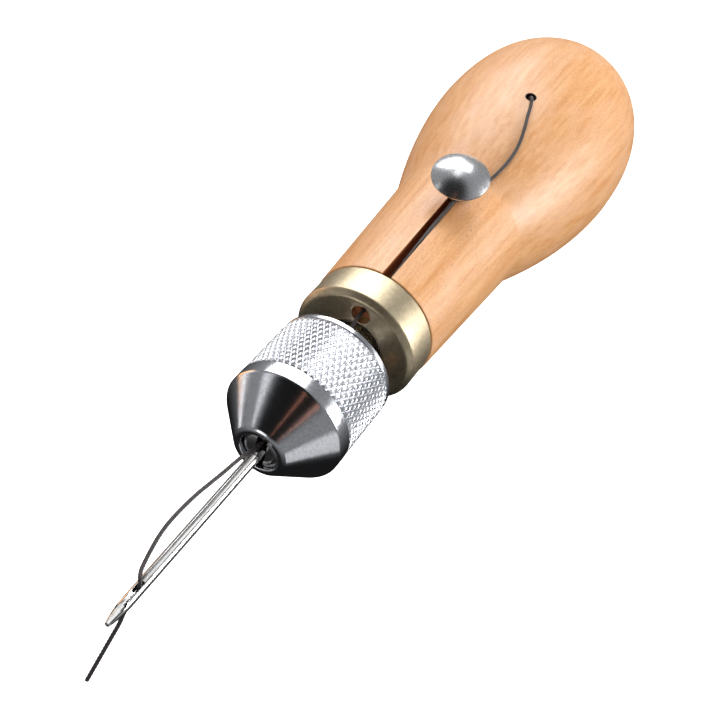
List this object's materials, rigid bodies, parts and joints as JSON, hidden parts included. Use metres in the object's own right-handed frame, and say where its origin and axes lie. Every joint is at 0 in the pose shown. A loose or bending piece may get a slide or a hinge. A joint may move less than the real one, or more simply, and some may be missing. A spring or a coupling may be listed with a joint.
{
  "type": "sewing awl",
  "caption": "Hand sewing awl with a hollow wooden handle, brass ferrule, domed tension post, knurled chuck and eyed needle with its thread.",
  "frame": {"origin": "on the tool's centre line, at the handle's shoulder, where the ferrule's rear edge sits", "axes": "+X runs along the tool from the needle to the butt, +Z points to the side with the thread groove and the tension post, +Y completes the right-handed set"},
  "size_m": [0.1642, 0.0386, 0.0386],
  "materials": {
    "beech": "satin lacquer over fine straight grain",
    "pale_brass": "brushed round",
    "bush_brass": "machined",
    "nickel": "polished, with fine turning rings",
    "satin_chrome": "satin",
    "machined_steel": "machined",
    "needle_steel": "polished along its length",
    "tinned_steel": "satin",
    "waxed_thread": "twisted and waxed"
  },
  "bodies": {
    "handle_body": {"handle": "beech", "neck_bush": "bush_brass", "ferrule": "pale_brass", "tension_post": "satin_chrome", "thread_feed": "waxed_thread", "thread_outside": "waxed_thread"},
    "stem_body": {"chuck_stem": "machined_steel", "bobbin_spindle": "tinned_steel", "spindle_collar": "tinned_steel", "spindle_nut": "tinned_steel", "thread_chuck": "waxed_thread"},
    "bobbin_body": {"bobbin_core": "tinned_steel", "front_flange": "tinned_steel", "rear_flange": "tinned_steel", "wound_thread": "waxed_thread"},
    "nut_body": {"chuck_nut": "nickel"},
    "needle_body": {"needle": "needle_steel", "thread_loop": "waxed_thread", "thread_tail": "waxed_thread"}
  },
  "joints": [
    {"name": "stem_draw", "type": "slide", "parent": "handle_body", "child": "stem_body", "axis": [-1, 0, 0], "range_m": [0, 0.075]},
    {"name": "bobbin_spin", "type": "hinge", "parent": "stem_body", "child": "bobbin_body", "pos_m": [0.0516, 0, 0], "axis": [1, 0, 0], "continuous": true},
    {"name": "nut_turn", "type": "hinge", "parent": "stem_body", "child": "nut_body", "pos_m": [-0.0234, 0, 0], "axis": [-1, 0, 0], "range_deg": [0, 360]},
    {"name": "needle_draw", "type": "slide", "parent": "stem_body", "child": "needle_body", "axis": [-1, 0, 0], "range_m": [0, 0.012]}
  ]
}
